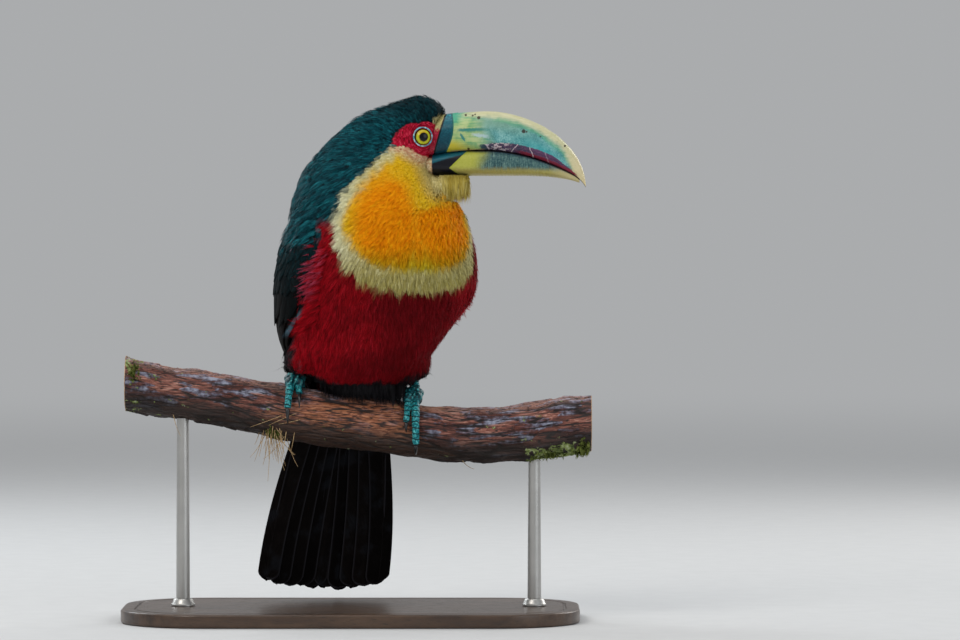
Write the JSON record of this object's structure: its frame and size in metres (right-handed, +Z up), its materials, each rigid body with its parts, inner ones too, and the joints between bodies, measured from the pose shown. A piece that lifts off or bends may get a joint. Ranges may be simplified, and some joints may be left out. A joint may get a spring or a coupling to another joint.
{
  "type": "red-breasted toucan on a perch",
  "caption": "Perched toucan with a long deep bill, rounded breast, folded wings and a long flat tail, gripping a short length of branch that rods hold over a flat base.",
  "frame": {"origin": "centre of the stand base's flat underside", "axes": "+Z up; +X the way the bill points and along the perch; -Y the way the breast faces, turned 18 degrees to +X; the tail hangs on the +Y side"},
  "size_m": [0.312, 0.156, 0.3473],
  "materials": {
    "red_feather": "soft layered feathers",
    "black_feather": "smooth satin feathers",
    "bib_feather": "soft fine feathers",
    "cap_feather": "sleek glossy feathers",
    "bill_horn": "smooth satin horn",
    "eye": "wet gloss",
    "foot_scale": "scaly satin skin",
    "claw": "satin horn",
    "bark": "rough peeling bark",
    "stand_base": "dark stained satin wood",
    "stand_metal": "brushed"
  },
  "bodies": {
    "root": {"trunk": "red_feather", "neck": "bib_feather", "head": "cap_feather", "bill_upper": "bill_horn", "bill_lower": "bill_horn", "tail": "black_feather", "eye_right": "eye", "wing_right": "black_feather", "thigh_right": "black_feather", "shank_right": "foot_scale", "foot_right": "foot_scale", "eye_left": "eye", "wing_left": "black_feather", "thigh_left": "black_feather", "shank_left": "foot_scale", "foot_left": "foot_scale", "perch_branch": "bark", "stand_base": "stand_base", "stand_rod_left": "stand_metal", "stand_rod_right": "stand_metal", "claw_right_front_outer": "claw", "claw_right_front_inner": "claw", "claw_right_back_outer": "claw", "claw_right_back_inner": "claw", "claw_left_front_outer": "claw", "claw_left_front_inner": "claw", "claw_left_back_outer": "claw", "claw_left_back_inner": "claw"}
  },
  "joints": []
}
